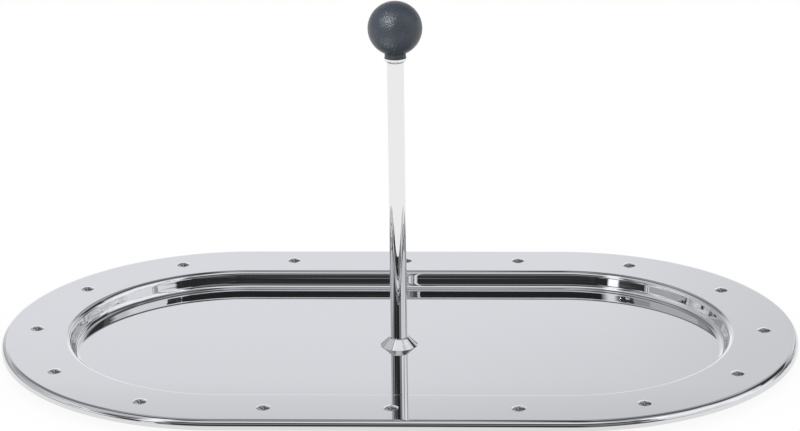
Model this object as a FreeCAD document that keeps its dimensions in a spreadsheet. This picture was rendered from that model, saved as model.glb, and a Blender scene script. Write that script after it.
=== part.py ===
import FreeCAD, Part
import math
import os

import Sketcher

# Obround serving tray pressed from steel sheet, with an upright post and a ball knob.
# The origin is on the table under the post. X runs along the tray, Z points up.

os.makedirs("parts", exist_ok=True)
doc = FreeCAD.newDocument("serving_tray")

# Driving dimensions in millimetres and degrees.
sizes = {
    # Tray outline and sheet
    "tray_length": 420.0,
    "tray_width": 246.0,
    "sheet": 1.0,
    # Well, wall and rim, each measured on the show side
    "well_depth": 8.6,
    "rim_width": 33.6,
    "wall_angle": 75.0,
    "rim_bend": 3.3,
    "floor_bend": 3.7,
    "edge_bend": 3.4,
    "edge_drop": 4.8,
    # Raised pips on the rim
    "pip_inset": 17.6,
    "pip_diameter": 7.0,
    "pip_height": 1.2,
    "pips_per_side": 3,
    "pips_per_end": 5,
    # Cone pressed up in the middle of the floor
    "boss_diameter": 20.0,
    "boss_height": 4.7,
    "boss_top_bend": 1.4,
    "boss_foot_bend": 0.6,
    # Post
    "post_diameter": 8.8,
    "post_length": 151.0,
    "post_chamfer": 0.25,
    "spigot_diameter": 5.0,
    "spigot_length": 13.0,
    "tapping_depth": 15.0,
    "thread_play": 0.05,
    # Ferrule under the knob
    "ferrule_diameter": 11.9,
    "ferrule_foot_diameter": 9.4,
    "ferrule_height": 2.4,
    "ferrule_lip_height": 0.7,
    "ferrule_seat_depth": 1.0,
    # Ball knob
    "knob_diameter": 28.0,
    "neck_diameter": 11.0,
    "neck_play": 0.05,
    "knob_rise": 15.3,
    "knob_bore_spare": 2.0,
    # Fixing screw and washer
    "screw_diameter": 4.0,
    "screw_reach": 10.0,
    "screw_hole_play": 0.25,
    "screw_head_diameter": 7.0,
    "screw_head_height": 2.8,
    "screw_head_chamfer": 0.3,
    "socket_width": 2.5,
    "socket_depth": 1.6,
    "washer_diameter": 7.6,
    "washer_bore": 4.1,
    "washer_thickness": 0.9,
    "washer_slit": 0.8,
}

sheet = doc.addObject("Spreadsheet::Sheet", "Sizes")
for row, (alias, value) in enumerate(sizes.items(), start=1):
    sheet.set(f"A{row}", alias)
    sheet.set(f"B{row}", str(value))
    sheet.setAlias(f"B{row}", alias)
doc.recompute()


def size(alias):
    return float(sheet.get(alias))


# Formulas that several pieces share
END_RADIUS = "Sizes.tray_width / 2"
STRAIGHT = "(Sizes.tray_length - Sizes.tray_width)"
PIP_RADIUS = "(Sizes.tray_width / 2 - Sizes.pip_inset)"
PIP_COUNT = "(2 * (Sizes.pips_per_side + Sizes.pips_per_end))"
PIP_PITCH = f"((2 * {STRAIGHT} + 2 * pi * {PIP_RADIUS}) / {PIP_COUNT})"
RIM_TOP = "(Sizes.sheet + Sizes.well_depth)"
BOSS_TOP = "(Sizes.sheet + Sizes.boss_height)"
POST_TOP = f"({BOSS_TOP} + Sizes.post_length)"
NECK_FOOT = f"({POST_TOP} + Sizes.ferrule_height - Sizes.ferrule_seat_depth)"
KNOB_CENTRE = f"({POST_TOP} + Sizes.ferrule_height + Sizes.knob_rise)"
WASHER_TOP = f"({BOSS_TOP} - Sizes.sheet)"
HEAD_TOP = f"({WASHER_TOP} - Sizes.washer_thickness)"
HEAD_FOOT = f"({HEAD_TOP} - Sizes.screw_head_height)"

# The same places as numbers, from which the sketches are first laid out
end_radius = size("tray_width") / 2
straight = size("tray_length") - size("tray_width")
pip_radius = end_radius - size("pip_inset")
pip_count = 2 * (size("pips_per_side") + size("pips_per_end"))
pip_pitch = (2 * straight + 2 * math.pi * pip_radius) / pip_count
rim_top = size("sheet") + size("well_depth")
boss_top = size("sheet") + size("boss_height")
post_top = boss_top + size("post_length")
neck_foot = post_top + size("ferrule_height") - size("ferrule_seat_depth")
knob_centre = post_top + size("ferrule_height") + size("knob_rise")
washer_top = boss_top - size("sheet")
head_top = washer_top - size("washer_thickness")
head_foot = head_top - size("screw_head_height")

# How far two parts of the same pressing run into each other before they are joined
LAP = 2.0

# Ends of a line closer than this lie at the same level or on the same upright
SAME = 1e-6

SOCKET_SIDES = 6


def vector(point):
    return FreeCAD.Vector(point[0], point[1], 0)


def origin_feature(body, role):
    return next(feature for feature in body.Origin.OriginFeatures if feature.Role == role)


def new_body(name):
    body = doc.addObject("PartDesign::Body", name)
    body.Label = name
    return body


def new_sketch(body, name, role):
    """A sketch on one of the body's own origin planes."""
    sketch = body.newObject("Sketcher::SketchObject", name)
    sketch.AttachmentSupport = (origin_feature(body, role), [""])
    sketch.MapMode = "FlatFace"
    return sketch


def bind(sketch, formula, *constraint):
    """Adds a dimension and ties it to the sheet."""
    index = sketch.addConstraint(Sketcher.Constraint(*constraint))
    sketch.setExpression(f"Constraints[{index}]", formula)


def add_line(sketch, start, end):
    return sketch.addGeometry(Part.LineSegment(vector(start), vector(end)), False)


def add_outline(sketch, points):
    """A closed outline of straight lines, level or upright where the points say so."""
    lines = [add_line(sketch, a, b) for a, b in zip(points, points[1:] + points[:1])]
    for here, following in zip(lines, lines[1:] + lines[:1]):
        sketch.addConstraint(Sketcher.Constraint("Coincident", here, 2, following, 1))
    for line, a, b in zip(lines, points, points[1:] + points[:1]):
        if abs(a[0] - b[0]) < SAME:
            sketch.addConstraint(Sketcher.Constraint("Vertical", line))
        elif abs(a[1] - b[1]) < SAME:
            sketch.addConstraint(Sketcher.Constraint("Horizontal", line))
    return lines


def heading(a, b):
    """Unit vector from one point to another."""
    length = math.hypot(b[0] - a[0], b[1] - a[1])
    return ((b[0] - a[0]) / length, (b[1] - a[1]) / length)


def add_skin(sketch, corners, radii):
    """One skin of a bent sheet: straight runs joined by tangent arcs.

    Gives back the runs, and each arc with the numbers of its first and last end.
    """
    runs = []
    arcs = []
    start = corners[0]
    for before, corner, after, radius in zip(corners, corners[1:], corners[2:], radii):
        towards = heading(before, corner)
        away = heading(corner, after)
        turn = towards[0] * away[1] - towards[1] * away[0]
        side = math.copysign(1.0, turn)
        angle = math.acos(towards[0] * away[0] + towards[1] * away[1])
        reach = radius * math.tan(angle / 2)
        first = (corner[0] - reach * towards[0], corner[1] - reach * towards[1])
        last = (corner[0] + reach * away[0], corner[1] + reach * away[1])
        centre = (first[0] - side * radius * towards[1], first[1] + side * radius * towards[0])
        ends = [math.atan2(p[1] - centre[1], p[0] - centre[0]) for p in (first, last)]
        if side < 0:
            ends.reverse()
        circle = Part.Circle(vector(centre), FreeCAD.Vector(0, 0, 1), radius)
        runs.append(add_line(sketch, start, first))
        arc = sketch.addGeometry(Part.ArcOfCircle(circle, *ends), False)
        arcs.append((arc, 1, 2) if side > 0 else (arc, 2, 1))
        start = last
    runs.append(add_line(sketch, start, corners[-1]))
    for (arc, first_end, last_end), run, next_run in zip(arcs, runs, runs[1:]):
        sketch.addConstraint(Sketcher.Constraint("Tangent", run, 2, arc, first_end))
        sketch.addConstraint(Sketcher.Constraint("Tangent", arc, last_end, next_run, 1))
    return runs, arcs


def offset_corners(corners, distance):
    """The corners of a second skin, at a distance to the right of the first."""
    headings = [heading(a, b) for a, b in zip(corners, corners[1:])]
    first = headings[0]
    last = headings[-1]
    moved = [(corners[0][0] + distance * first[1], corners[0][1] - distance * first[0])]
    for corner, before, after in zip(corners[1:-1], headings, headings[1:]):
        share = distance / (1 + before[0] * after[0] + before[1] * after[1])
        moved.append((corner[0] + share * (before[1] + after[1]),
                      corner[1] - share * (before[0] + after[0])))
    moved.append((corners[-1][0] + distance * last[1], corners[-1][1] - distance * last[0]))
    return moved


def add_bent_sheet(sketch, corners, bends):
    """The closed section of a bent sheet, from the corners of its show side.

    Each bend names its size in the sheet. A bend that turns left is hollow on the show
    side, so the hidden side has the larger radius there, and the other way round.
    """
    thickness = size("sheet")
    radii = [size(alias) for alias in bends]
    show_runs, show_arcs = add_skin(sketch, corners, radii)
    turns_left = [ends[0] == 1 for arc, *ends in show_arcs]
    hidden_radii = [r + thickness if left else r - thickness for r, left in zip(radii, turns_left)]
    hidden_corners = offset_corners(corners, thickness)
    hidden_runs, hidden_arcs = add_skin(sketch, hidden_corners, hidden_radii)
    for show, hidden, alias, left in zip(show_arcs, hidden_arcs, bends, turns_left):
        sketch.addConstraint(Sketcher.Constraint("Coincident", show[0], 3, hidden[0], 3))
        bind(sketch, f"Sizes.{alias}", "Radius", show[0], size(alias))
        sign = "+" if left else "-"
        radius = size(alias) + thickness if left else size(alias) - thickness
        bind(sketch, f"Sizes.{alias} {sign} Sizes.sheet", "Radius", hidden[0], radius)
    inner_cap = add_line(sketch, hidden_corners[0], corners[0])
    outer_cap = add_line(sketch, corners[-1], hidden_corners[-1])
    sketch.addConstraint(Sketcher.Constraint("Coincident", inner_cap, 1, hidden_runs[0], 1))
    sketch.addConstraint(Sketcher.Constraint("Coincident", inner_cap, 2, show_runs[0], 1))
    sketch.addConstraint(Sketcher.Constraint("Coincident", outer_cap, 1, show_runs[-1], 2))
    sketch.addConstraint(Sketcher.Constraint("Coincident", outer_cap, 2, hidden_runs[-1], 2))
    sketch.addConstraint(Sketcher.Constraint("Vertical", inner_cap))
    return show_runs, outer_cap


def revolve(body, name, sketch, kind="PartDesign::Revolution", angle=360.0):
    """Turns a sketch about its own upright axis."""
    feature = body.newObject(kind, name)
    feature.Profile = sketch
    feature.ReferenceAxis = (sketch, ["V_Axis"])
    feature.Angle = angle
    return feature


def mirror(body, name, features, role):
    feature = body.newObject("PartDesign::Mirrored", name)
    feature.Originals = features
    feature.MirrorPlane = (origin_feature(body, role), [""])
    body.Tip = feature
    return feature


# Tray

def floor_plate(body, floor_radius):
    """The flat middle of the well, an obround plate."""
    half = straight / 2
    sketch = new_sketch(body, "floor_outline", "XY_Plane")
    back = add_line(sketch, (-half, floor_radius), (half, floor_radius))
    front = add_line(sketch, (half, -floor_radius), (-half, -floor_radius))
    up = FreeCAD.Vector(0, 0, 1)
    right_circle = Part.Circle(FreeCAD.Vector(half, 0, 0), up, floor_radius)
    left_circle = Part.Circle(FreeCAD.Vector(-half, 0, 0), up, floor_radius)
    quarter = math.pi / 2
    right = sketch.addGeometry(Part.ArcOfCircle(right_circle, -quarter, quarter), False)
    left = sketch.addGeometry(Part.ArcOfCircle(left_circle, quarter, 3 * quarter), False)
    for arc, end, line, line_end in ((right, 2, back, 2), (right, 1, front, 1),
                                     (left, 1, back, 1), (left, 2, front, 2)):
        sketch.addConstraint(Sketcher.Constraint("Tangent", arc, end, line, line_end))
    sketch.addConstraint(Sketcher.Constraint("Horizontal", back))
    sketch.addConstraint(Sketcher.Constraint("PointOnObject", right, 3, -1))
    bind(sketch, f"{STRAIGHT} / 2", "DistanceX", -1, 1, right, 3, half)
    bind(sketch, f"{STRAIGHT} / 2", "DistanceX", left, 3, -1, 1, half)
    formula = (f"{END_RADIUS} - Sizes.rim_width - Sizes.rim_bend * sin(Sizes.wall_angle)"
               " - (Sizes.well_depth - (Sizes.rim_bend + Sizes.floor_bend)"
               " * (1 - cos(Sizes.wall_angle))) / tan(Sizes.wall_angle)"
               " - Sizes.floor_bend * sin(Sizes.wall_angle)")
    bind(sketch, formula, "Radius", right, floor_radius)
    plate = body.newObject("PartDesign::Pad", "floor_plate")
    plate.Profile = sketch
    plate.setExpression("Length", "Sizes.sheet")
    return formula


def rim_section(body, floor_radius, floor_formula):
    """Section of well edge, wall, rim and turned-down edge, at the end of the straight side."""
    wall = math.radians(size("wall_angle"))
    bend_reach = size("rim_bend") * math.tan(wall / 2)
    wall_head = end_radius - size("rim_width") - bend_reach
    wall_foot = wall_head - size("well_depth") / math.tan(wall)
    corners = [(floor_radius - LAP, size("sheet")),
               (wall_foot, size("sheet")),
               (wall_head, rim_top),
               (end_radius, rim_top),
               (end_radius, rim_top - size("edge_drop"))]
    sketch = new_sketch(body, "rim_section", "YZ_Plane")
    sketch.setExpression("AttachmentOffset.Base.z", f"{STRAIGHT} / 2")
    runs, outer_cap = add_bent_sheet(sketch, corners, ["floor_bend", "rim_bend", "edge_bend"])
    floor_run, _, rim_run, edge_run = runs
    sketch.addConstraint(Sketcher.Constraint("Horizontal", floor_run))
    sketch.addConstraint(Sketcher.Constraint("Horizontal", rim_run))
    sketch.addConstraint(Sketcher.Constraint("Vertical", edge_run))
    sketch.addConstraint(Sketcher.Constraint("Horizontal", outer_cap))
    bind(sketch, f"{floor_formula} - {LAP}", "DistanceX", -1, 1, floor_run, 1, corners[0][0])
    bind(sketch, "Sizes.sheet", "DistanceY", -1, 1, floor_run, 1, size("sheet"))
    bind(sketch, "Sizes.well_depth", "DistanceY", floor_run, 1, rim_run, 1, size("well_depth"))
    bind(sketch, "Sizes.rim_width", "DistanceX", rim_run, 1, edge_run, 1, size("rim_width"))
    bind(sketch, END_RADIUS, "DistanceX", -1, 1, edge_run, 1, end_radius)
    bind(sketch, "Sizes.edge_drop", "DistanceY", edge_run, 2, rim_run, 2, size("edge_drop"))
    return sketch


def rim_features(body, section):
    """The one section makes both straight sides and both half-circle ends."""
    side = body.newObject("PartDesign::Pad", "rim_side")
    side.Profile = section
    side.Reversed = True
    side.setExpression("Length", STRAIGHT)
    mirror(body, "rim_sides", [side], "XZ_Plane")
    end = revolve(body, "rim_end", section, angle=180.0)
    end.Reversed = True
    mirror(body, "rim_ends", [end], "YZ_Plane")


def centre_boss(body):
    """Cone pressed up in the floor, flat on top where the post stands, with the screw's hole."""
    clearing = new_sketch(body, "boss_clearing_outline", "XY_Plane")
    foot_radius = size("boss_diameter") / 2
    circle = Part.Circle(FreeCAD.Vector(0, 0, 0), FreeCAD.Vector(0, 0, 1), foot_radius)
    ring = clearing.addGeometry(circle, False)
    clearing.addConstraint(Sketcher.Constraint("Coincident", ring, 3, -1, 1))
    bind(clearing, "Sizes.boss_diameter / 2", "Radius", ring, foot_radius)
    cut = body.newObject("PartDesign::Pocket", "boss_clearing")
    cut.Profile = clearing
    cut.Type = "ThroughAll"
    cut.Midplane = True

    hole_radius = size("screw_diameter") / 2 + size("screw_hole_play")
    seat_radius = size("post_diameter") / 2
    height = size("boss_height")
    seat_bend = size("boss_top_bend")
    foot_bend = size("boss_foot_bend")
    # The cone's side is the line that touches both bends and runs between them.
    bends = seat_bend + foot_bend
    across = foot_radius - seat_radius
    slope = math.atan2(height - bends, across) + math.asin(bends / math.hypot(across, height - bends))
    corners = [(hole_radius, boss_top),
               (seat_radius + seat_bend * math.tan(slope / 2), boss_top),
               (foot_radius - foot_bend * math.tan(slope / 2), size("sheet")),
               (foot_radius + LAP, size("sheet"))]
    sketch = new_sketch(body, "boss_section", "XZ_Plane")
    runs, outer_cap = add_bent_sheet(sketch, corners, ["boss_top_bend", "boss_foot_bend"])
    seat, _, foot = runs
    sketch.addConstraint(Sketcher.Constraint("Horizontal", seat))
    sketch.addConstraint(Sketcher.Constraint("Horizontal", foot))
    sketch.addConstraint(Sketcher.Constraint("Vertical", outer_cap))
    bind(sketch, "Sizes.screw_diameter / 2 + Sizes.screw_hole_play",
         "DistanceX", -1, 1, seat, 1, hole_radius)
    bind(sketch, "Sizes.post_diameter / 2", "DistanceX", -1, 1, seat, 2, seat_radius)
    bind(sketch, "Sizes.boss_diameter / 2", "DistanceX", -1, 1, foot, 1, foot_radius)
    bind(sketch, f"Sizes.boss_diameter / 2 + {LAP}", "DistanceX", -1, 1, foot, 2,
         foot_radius + LAP)
    bind(sketch, "Sizes.sheet", "DistanceY", -1, 1, foot, 1, size("sheet"))
    bind(sketch, "Sizes.boss_height", "DistanceY", foot, 1, seat, 1, height)
    revolve(body, "centre_boss", sketch)


def pip_profile(body, name, role, place, hidden):
    """Half section of one pip about its own axis: a ball cap on an upright neck.

    The show side adds metal to the rim, and the hidden side takes it away underneath. Both
    caps are rounded about the same centre, one sheet apart.
    """
    height = size("pip_height")
    thickness = size("sheet")
    cap = ((size("pip_diameter") / 2) ** 2 + height ** 2) / (2 * height)
    cap_formula = "((Sizes.pip_diameter / 2)^2 + Sizes.pip_height^2) / (2 * Sizes.pip_height)"
    if hidden:
        level = rim_top - thickness
        level_formula = f"{RIM_TOP} - Sizes.sheet"
        neck = thickness
        neck_formula = "Sizes.sheet"
        radius = cap - thickness
        radius_formula = f"{cap_formula} - Sizes.sheet"
    else:
        level = rim_top
        level_formula = RIM_TOP
        neck = thickness / 2
        neck_formula = "Sizes.sheet / 2"
        radius = cap
        radius_formula = cap_formula
    base = level - neck
    centre = rim_top + height - cap
    edge_angle = math.asin((level - centre) / radius)
    edge = radius * math.cos(edge_angle)
    sketch = new_sketch(body, name, role)
    for axis, formula in place.items():
        sketch.setExpression(f"AttachmentOffset.Base.{axis}", formula)
    circle = Part.Circle(vector((0, centre)), FreeCAD.Vector(0, 0, 1), radius)
    arc = sketch.addGeometry(Part.ArcOfCircle(circle, edge_angle, math.pi / 2), False)
    side = add_line(sketch, (edge, level), (edge, base))
    floor = add_line(sketch, (edge, base), (0, base))
    axis_line = add_line(sketch, (0, base), (0, centre + radius))
    chain = [(arc, 1, side, 1), (side, 2, floor, 1), (floor, 2, axis_line, 1), (axis_line, 2, arc, 2)]
    for joint in chain:
        sketch.addConstraint(Sketcher.Constraint("Coincident", *joint))
    sketch.addConstraint(Sketcher.Constraint("PointOnObject", axis_line, 1, -2))
    sketch.addConstraint(Sketcher.Constraint("PointOnObject", arc, 3, -2))
    sketch.addConstraint(Sketcher.Constraint("Vertical", axis_line))
    sketch.addConstraint(Sketcher.Constraint("Vertical", side))
    sketch.addConstraint(Sketcher.Constraint("Horizontal", floor))
    bind(sketch, radius_formula, "Radius", arc, radius)
    bind(sketch, level_formula, "DistanceY", -1, 1, side, 1, level)
    bind(sketch, neck_formula, "DistanceY", side, 2, side, 1, neck)
    bind(sketch, f"{RIM_TOP} + Sizes.pip_height - ({cap_formula})",
         "DistanceY", -1, 1, arc, 3, centre)
    return sketch


def pip_pair(body, name, role, place):
    """The raised cap on top and the hollow that the punch leaves underneath."""
    cap = revolve(body, f"{name}_cap", pip_profile(body, f"{name}_cap_section", role, place, False))
    doc.recompute()
    hollow_section = pip_profile(body, f"{name}_hollow_section", role, place, True)
    hollow = revolve(body, f"{name}_hollow", hollow_section, kind="PartDesign::Groove")
    return [cap, hollow]


def side_pips(body):
    """Pips along both straight sides, spread about the middle."""
    place = {"x": f"-{PIP_PITCH} * (Sizes.pips_per_side - 1) / 2", "z": PIP_RADIUS}
    pair = pip_pair(body, "side_pip", "XZ_Plane", place)
    pattern = body.newObject("PartDesign::MultiTransform", "side_pips")
    pattern.Originals = pair
    row = body.newObject("PartDesign::LinearPattern", "side_row")
    row.Direction = (origin_feature(body, "X_Axis"), [""])
    row.setExpression("Length", f"{PIP_PITCH} * (Sizes.pips_per_side - 1)")
    row.setExpression("Occurrences", "Sizes.pips_per_side")
    across = body.newObject("PartDesign::Mirrored", "side_mirror")
    across.MirrorPlane = (origin_feature(body, "XZ_Plane"), [""])
    pattern.Transformations = [row, across]
    body.Tip = pattern


def end_pips(body):
    """Pips round both half-circle ends, spread about the tip at the same pitch."""
    step = f"({PIP_PITCH} / {PIP_RADIUS} * 180 / pi)"
    start = f"({step} * (Sizes.pips_per_end - 1) / 2 * 1deg)"
    place = {"x": f"{STRAIGHT} / 2 + {PIP_RADIUS} * cos{start}",
             "z": f"{PIP_RADIUS} * sin{start}"}
    pair = pip_pair(body, "end_pip", "XZ_Plane", place)
    centre = new_sketch(body, "end_centre", "XY_Plane")
    centre.setExpression("AttachmentOffset.Base.x", f"{STRAIGHT} / 2")
    pattern = body.newObject("PartDesign::MultiTransform", "end_pips")
    pattern.Originals = pair
    fan = body.newObject("PartDesign::PolarPattern", "end_fan")
    fan.Axis = (centre, ["N_Axis"])
    fan.setExpression("Angle", f"{step} * (Sizes.pips_per_end - 1)")
    fan.setExpression("Occurrences", "Sizes.pips_per_end")
    across = body.newObject("PartDesign::Mirrored", "end_mirror")
    across.MirrorPlane = (origin_feature(body, "YZ_Plane"), [""])
    pattern.Transformations = [fan, across]
    body.Tip = pattern


def make_tray():
    body = new_body("tray")
    wall = math.radians(size("wall_angle"))
    bends = size("rim_bend") + size("floor_bend")
    wall_run = (size("well_depth") - bends * (1 - math.cos(wall))) / math.tan(wall)
    floor_radius = end_radius - size("rim_width") - bends * math.sin(wall) - wall_run
    floor_formula = floor_plate(body, floor_radius)
    rim_features(body, rim_section(body, floor_radius, floor_formula))
    centre_boss(body)
    doc.recompute()
    side_pips(body)
    doc.recompute()
    end_pips(body)
    doc.recompute()
    return body


# Turned pieces

def make_post():
    """Round rod with chamfered ends, a spigot for the knob and a blind tapped hole below."""
    body = new_body("post")
    radius = size("post_diameter") / 2
    chamfer = size("post_chamfer")
    spigot = size("spigot_diameter") / 2
    bore = size("screw_diameter") / 2 + size("thread_play")
    spigot_top = post_top + size("spigot_length")
    hole_top = boss_top + size("tapping_depth")
    points = [(bore, boss_top), (radius - chamfer, boss_top), (radius, boss_top + chamfer),
              (radius, post_top), (spigot, post_top), (spigot, spigot_top - chamfer),
              (spigot - chamfer, spigot_top), (0, spigot_top), (0, hole_top), (bore, hole_top)]
    sketch = new_sketch(body, "post_section", "XZ_Plane")
    foot, low_chamfer, side, shoulder, neck, top_chamfer, top, axis, hole_end, hole_side = \
        add_outline(sketch, points)
    sketch.addConstraint(Sketcher.Constraint("PointOnObject", axis, 1, -2))
    bind(sketch, BOSS_TOP, "DistanceY", -1, 1, foot, 1, boss_top)
    bind(sketch, "Sizes.screw_diameter / 2 + Sizes.thread_play", "DistanceX", -1, 1, foot, 1, bore)
    bind(sketch, "Sizes.post_diameter / 2", "DistanceX", -1, 1, side, 1, radius)
    bind(sketch, "Sizes.post_chamfer", "DistanceX", low_chamfer, 1, low_chamfer, 2, chamfer)
    bind(sketch, "Sizes.post_chamfer", "DistanceY", low_chamfer, 1, low_chamfer, 2, chamfer)
    bind(sketch, "Sizes.post_length", "DistanceY", foot, 1, shoulder, 1, size("post_length"))
    bind(sketch, "Sizes.spigot_diameter / 2", "DistanceX", -1, 1, neck, 1, spigot)
    bind(sketch, "Sizes.spigot_length", "DistanceY", shoulder, 1, top, 1, size("spigot_length"))
    bind(sketch, "Sizes.post_chamfer", "DistanceX", top_chamfer, 2, top_chamfer, 1, chamfer)
    bind(sketch, "Sizes.post_chamfer", "DistanceY", top_chamfer, 1, top_chamfer, 2, chamfer)
    bind(sketch, "Sizes.tapping_depth", "DistanceY", foot, 1, hole_end, 1, size("tapping_depth"))
    revolve(body, "post_turning", sketch)
    return body


def make_ferrule():
    """Flared cup: a rounded underside, an upright lip and a shallow seat for the knob's neck."""
    body = new_body("top_ferrule")
    foot = size("ferrule_foot_diameter") / 2
    rim = size("ferrule_diameter") / 2
    bore = size("spigot_diameter") / 2 + size("thread_play")
    seat = size("neck_diameter") / 2 + size("neck_play")
    top = post_top + size("ferrule_height")
    lip_foot = top - size("ferrule_lip_height")
    points = [(bore, post_top), (foot, post_top), (rim, lip_foot), (rim, top), (seat, top),
              (seat, neck_foot), (bore, neck_foot)]
    sketch = new_sketch(body, "ferrule_section", "XZ_Plane")
    under = add_line(sketch, points[0], points[1])
    # The flare is a round arc that leaves the foot and stands upright where the lip begins.
    width = rim - foot
    rise = lip_foot - post_top
    flare_radius = (width ** 2 + rise ** 2) / (2 * width)
    centre = (rim - flare_radius, lip_foot)
    circle = Part.Circle(vector(centre), FreeCAD.Vector(0, 0, 1), flare_radius)
    start_angle = math.atan2(post_top - centre[1], foot - centre[0])
    flare = sketch.addGeometry(Part.ArcOfCircle(circle, start_angle, 0), False)
    lip, lip_top, seat_side, seat_floor, bore_side = [
        add_line(sketch, a, b) for a, b in zip(points[2:], points[3:] + points[:1])]
    chain = [(under, 2, flare, 1), (lip, 2, lip_top, 1), (lip_top, 2, seat_side, 1),
             (seat_side, 2, seat_floor, 1), (seat_floor, 2, bore_side, 1), (bore_side, 2, under, 1)]
    for joint in chain:
        sketch.addConstraint(Sketcher.Constraint("Coincident", *joint))
    sketch.addConstraint(Sketcher.Constraint("Tangent", flare, 2, lip, 1))
    for line in (under, lip_top, seat_floor):
        sketch.addConstraint(Sketcher.Constraint("Horizontal", line))
    for line in (lip, seat_side, bore_side):
        sketch.addConstraint(Sketcher.Constraint("Vertical", line))
    bind(sketch, POST_TOP, "DistanceY", -1, 1, under, 1, post_top)
    bind(sketch, "Sizes.spigot_diameter / 2 + Sizes.thread_play", "DistanceX", -1, 1, under, 1, bore)
    bind(sketch, "Sizes.ferrule_foot_diameter / 2", "DistanceX", -1, 1, under, 2, foot)
    bind(sketch, "Sizes.ferrule_diameter / 2", "DistanceX", -1, 1, lip, 1, rim)
    bind(sketch, "Sizes.neck_diameter / 2 + Sizes.neck_play", "DistanceX", -1, 1, seat_side, 1, seat)
    bind(sketch, "Sizes.ferrule_height", "DistanceY", under, 1, lip, 2, size("ferrule_height"))
    bind(sketch, "Sizes.ferrule_lip_height", "DistanceY", lip, 1, lip, 2,
         size("ferrule_lip_height"))
    bind(sketch, "Sizes.ferrule_seat_depth", "DistanceY", seat_side, 2, seat_side, 1,
         size("ferrule_seat_depth"))
    revolve(body, "ferrule_turning", sketch)
    return body


def make_knob():
    """Ball with a short round neck and a blind bore for the post's spigot."""
    body = new_body("ball_knob")
    ball = size("knob_diameter") / 2
    neck = size("neck_diameter") / 2
    bore = size("spigot_diameter") / 2 + size("thread_play")
    bore_top = post_top + size("spigot_length") + size("knob_bore_spare")
    neck_top = knob_centre - math.sqrt(ball ** 2 - neck ** 2)
    ball_top = knob_centre + ball
    sketch = new_sketch(body, "knob_section", "XZ_Plane")
    circle = Part.Circle(vector((0, knob_centre)), FreeCAD.Vector(0, 0, 1), ball)
    start_angle = math.atan2(neck_top - knob_centre, neck)
    under = add_line(sketch, (bore, neck_foot), (neck, neck_foot))
    neck_side = add_line(sketch, (neck, neck_foot), (neck, neck_top))
    outside = sketch.addGeometry(Part.ArcOfCircle(circle, start_angle, math.pi / 2), False)
    axis = add_line(sketch, (0, ball_top), (0, bore_top))
    bore_end = add_line(sketch, (0, bore_top), (bore, bore_top))
    bore_side = add_line(sketch, (bore, bore_top), (bore, neck_foot))
    chain = [(under, 2, neck_side, 1), (neck_side, 2, outside, 1), (outside, 2, axis, 1),
             (axis, 2, bore_end, 1), (bore_end, 2, bore_side, 1), (bore_side, 2, under, 1)]
    for joint in chain:
        sketch.addConstraint(Sketcher.Constraint("Coincident", *joint))
    for line in (under, bore_end):
        sketch.addConstraint(Sketcher.Constraint("Horizontal", line))
    for line in (neck_side, axis, bore_side):
        sketch.addConstraint(Sketcher.Constraint("Vertical", line))
    sketch.addConstraint(Sketcher.Constraint("PointOnObject", outside, 3, -2))
    sketch.addConstraint(Sketcher.Constraint("PointOnObject", axis, 1, -2))
    bind(sketch, "Sizes.knob_diameter / 2", "Radius", outside, ball)
    bind(sketch, KNOB_CENTRE, "DistanceY", -1, 1, outside, 3, knob_centre)
    bind(sketch, "Sizes.neck_diameter / 2", "DistanceX", -1, 1, neck_side, 1, neck)
    bind(sketch, NECK_FOOT, "DistanceY", -1, 1, under, 1, neck_foot)
    bind(sketch, "Sizes.spigot_diameter / 2 + Sizes.thread_play", "DistanceX", -1, 1, under, 1, bore)
    bind(sketch, f"{POST_TOP} + Sizes.spigot_length + Sizes.knob_bore_spare",
         "DistanceY", -1, 1, axis, 2, bore_top)
    revolve(body, "knob_turning", sketch)
    return body


# Hidden fasteners in the hollow of the centre boss

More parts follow.
